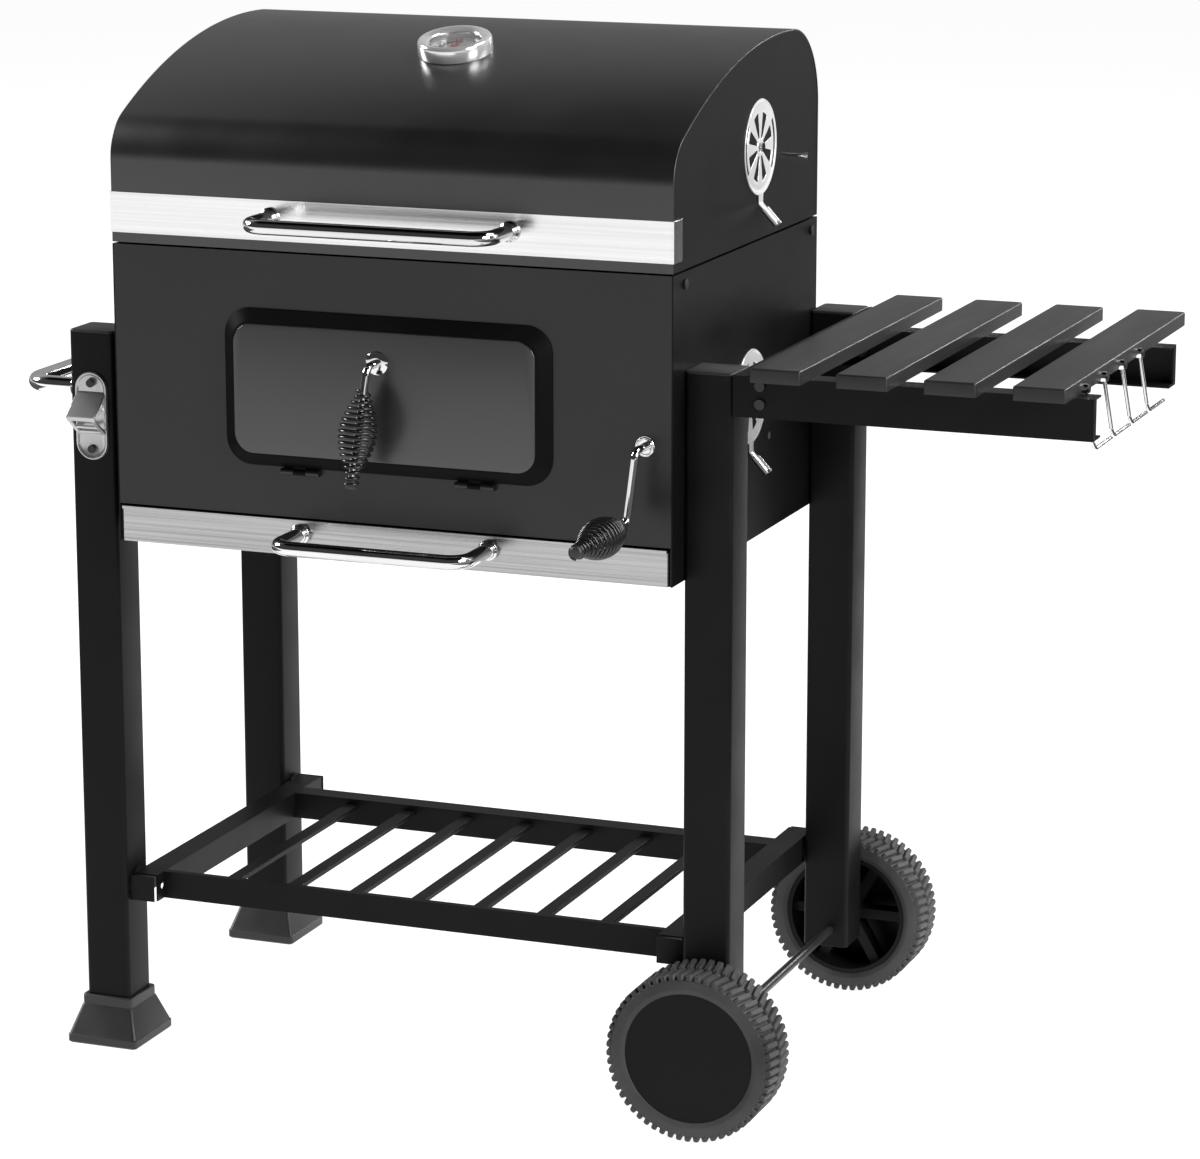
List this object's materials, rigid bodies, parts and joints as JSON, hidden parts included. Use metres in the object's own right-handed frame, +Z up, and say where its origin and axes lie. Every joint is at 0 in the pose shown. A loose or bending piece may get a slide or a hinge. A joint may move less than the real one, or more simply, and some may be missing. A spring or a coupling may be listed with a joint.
{
  "type": "charcoal grill cart",
  "caption": "Charcoal grill on a wheeled four-leg stand, with a hinged barrel lid, front charging door, crank-raised coal tray, ash drawer, slatted side table and tool hooks.",
  "frame": {"origin": "middle of the cart's footprint box, on the ground", "axes": "+X along the firebox towards the side table, -Y out of the front, +Z up"},
  "size_m": [1.1555, 0.704, 1.0764],
  "materials": {
    "black_steel": "satin powder coat",
    "lid_enamel": "smooth satin heat-proof coat",
    "slat_coat": "fine textured coat",
    "brushed_steel": "brushed along its length",
    "chrome": "polished",
    "black_plastic": "moulded",
    "tyre_plastic": "moulded tread",
    "black_wire": "gloss black wire",
    "zinc": "bright zinc",
    "grate_steel": "plated wire",
    "dial_face": "printed dial",
    "needle_red": "red paint",
    "gauge_glass": "clear"
  },
  "bodies": {
    "cart": {"leg_front_left": "black_steel", "leg_rear_left": "black_steel", "leg_front_right": "black_steel", "leg_rear_right": "black_steel", "leg_caps": "black_plastic", "feet": "black_plastic", "spacers_and_washers": "zinc", "axle": "zinc", "shelf_rails": "black_steel", "shelf_bars": "black_steel", "firebox_front": "black_steel", "firebox_rear": "black_steel", "firebox_left": "black_steel", "firebox_right": "black_steel", "inner_ledges": "black_steel", "door_hinges": "black_steel", "crank_bush": "chrome", "link_studs": "zinc", "firebox_hinges": "black_steel", "table_slats": "slat_coat", "table_frame": "black_steel", "tool_hooks": "chrome", "push_handle": "chrome", "bottle_opener": "chrome", "frame_bolts": "zinc", "screws_and_rivets": "zinc"},
    "lid": {"lid_shell": "lid_enamel", "lid_sides": "lid_enamel", "lid_band": "brushed_steel", "lid_handle": "chrome", "lid_hinge_leaves": "black_steel", "lid_studs": "chrome", "thermometer_case": "chrome", "thermometer_dial": "dial_face", "thermometer_glass": "gauge_glass"},
    "gauge_needle": {"thermometer_needle": "needle_red"},
    "lid_vent_disc": {"lid_vent": "chrome"},
    "firebox_vent_disc": {"firebox_vent": "chrome"},
    "door": {"charcoal_door": "lid_enamel", "door_rosette": "chrome"},
    "door_handle": {"door_handle_rod": "chrome", "door_grip": "black_wire", "door_latch_tongue": "black_steel"},
    "crank": {"crank_rod": "chrome", "crank_grip": "black_wire"},
    "nut": {"lift_nut": "zinc"},
    "link_front_right": {"lift_link_front_right": "black_steel"},
    "link_rear_right": {"lift_link_rear_right": "black_steel"},
    "link_front_left": {"lift_link_front_left": "black_steel"},
    "link_rear_left": {"lift_link_rear_left": "black_steel"},
    "tray": {"coal_tray": "black_steel"},
    "drawer": {"ash_drawer": "black_steel", "drawer_front": "brushed_steel", "drawer_handle": "chrome"},
    "front_wheel": {"front_tyre": "tyre_plastic", "front_wheel_hub": "black_plastic"},
    "rear_wheel": {"rear_tyre": "tyre_plastic", "rear_wheel_hub": "black_plastic"},
    "left_grate": {"grate_left": "grate_steel"},
    "right_grate": {"grate_right": "grate_steel"}
  },
  "joints": [
    {"name": "lid_hinge", "type": "hinge", "parent": "cart", "child": "lid", "pos_m": [-0.13375, 0.263, 0.866], "axis": [-1, 0, 0], "range_deg": [0, 95]},
    {"name": "gauge_needle_turn", "type": "hinge", "parent": "lid", "child": "gauge_needle", "pos_m": [-0.13375, -0.00516, 1.05708], "axis": [0, 0.2323, -0.9726], "range_deg": [0, 270], "stiffness_Nm_per_rad": 0.0005},
    {"name": "lid_vent_turn", "type": "hinge", "parent": "lid", "child": "lid_vent_disc", "pos_m": [0.16825, 0.0706, 0.96], "axis": [1, 0, 0], "range_deg": [0, 22.5]},
    {"name": "firebox_vent_turn", "type": "hinge", "parent": "cart", "child": "firebox_vent_disc", "pos_m": [0.16825, 0.046, 0.708], "axis": [1, 0, 0], "range_deg": [0, 22.5]},
    {"name": "door_hinge", "type": "hinge", "parent": "cart", "child": "door", "pos_m": [-0.13375, -0.1874, 0.6445], "axis": [1, 0, 0], "range_deg": [0, 75]},
    {"name": "door_handle_turn", "type": "hinge", "parent": "door", "child": "door_handle", "pos_m": [-0.13925, -0.184, 0.763], "axis": [0, 1, 0], "range_deg": [0, 90]},
    {"name": "crank_turn", "type": "hinge", "parent": "cart", "child": "crank", "pos_m": [0.14025, -0.184, 0.697], "axis": [0, 1, 0], "range_deg": [0, 3240]},
    {"name": "nut_slide", "type": "slide", "parent": "cart", "child": "nut", "axis": [0, -1, 0], "range_m": [0, 0.0361]},
    {"name": "link_front_right_swing", "type": "hinge", "parent": "cart", "child": "link_front_right", "pos_m": [0.15425, -0.114, 0.657], "axis": [1, 0, 0], "range_deg": [0, 48.51]},
    {"name": "link_rear_right_swing", "type": "hinge", "parent": "cart", "child": "link_rear_right", "pos_m": [0.15425, 0.106, 0.657], "axis": [1, 0, 0], "range_deg": [0, 48.51]},
    {"name": "link_front_left_swing", "type": "hinge", "parent": "cart", "child": "link_front_left", "pos_m": [-0.42175, -0.114, 0.657], "axis": [1, 0, 0], "range_deg": [0, 48.51]},
    {"name": "link_rear_left_swing", "type": "hinge", "parent": "cart", "child": "link_rear_left", "pos_m": [-0.42175, 0.106, 0.657], "axis": [1, 0, 0], "range_deg": [0, 48.51]},
    {"name": "tray_level", "type": "hinge", "parent": "link_front_right", "child": "tray", "pos_m": [0.15225, -0.03193, 0.62007], "axis": [1, 0, 0], "range_deg": [-48.51, 0]},
    {"name": "drawer_slide", "type": "slide", "parent": "cart", "child": "drawer", "axis": [0, -1, 0], "range_m": [0, 0.3]},
    {"name": "front_wheel_spin", "type": "hinge", "parent": "cart", "child": "front_wheel", "pos_m": [0.19825, -0.184, 0.087], "axis": [0, 1, 0], "continuous": true},
    {"name": "rear_wheel_spin", "type": "hinge", "parent": "cart", "child": "rear_wheel", "pos_m": [0.19825, -0.184, 0.087], "axis": [0, 1, 0], "continuous": true},
    {"name": "left_grate_lift", "type": "slide", "parent": "cart", "child": "left_grate", "axis": [0, 0, 1], "range_m": [0, 0.08]},
    {"name": "right_grate_lift", "type": "slide", "parent": "cart", "child": "right_grate", "axis": [0, 0, 1], "range_m": [0, 0.08]}
  ],
  "couplings": [
    {"joint": "nut_slide", "follows": "crank_turn", "m_per_rad": 0.00063662},
    {"joint": "link_front_right_swing", "follows": "crank_turn", "ratio": 0.014955},
    {"joint": "link_rear_right_swing", "follows": "crank_turn", "ratio": 0.014955},
    {"joint": "link_front_left_swing", "follows": "crank_turn", "ratio": 0.014955},
    {"joint": "link_rear_left_swing", "follows": "crank_turn", "ratio": 0.014955},
    {"joint": "tray_level", "follows": "crank_turn", "ratio": -0.014955}
  ]
}
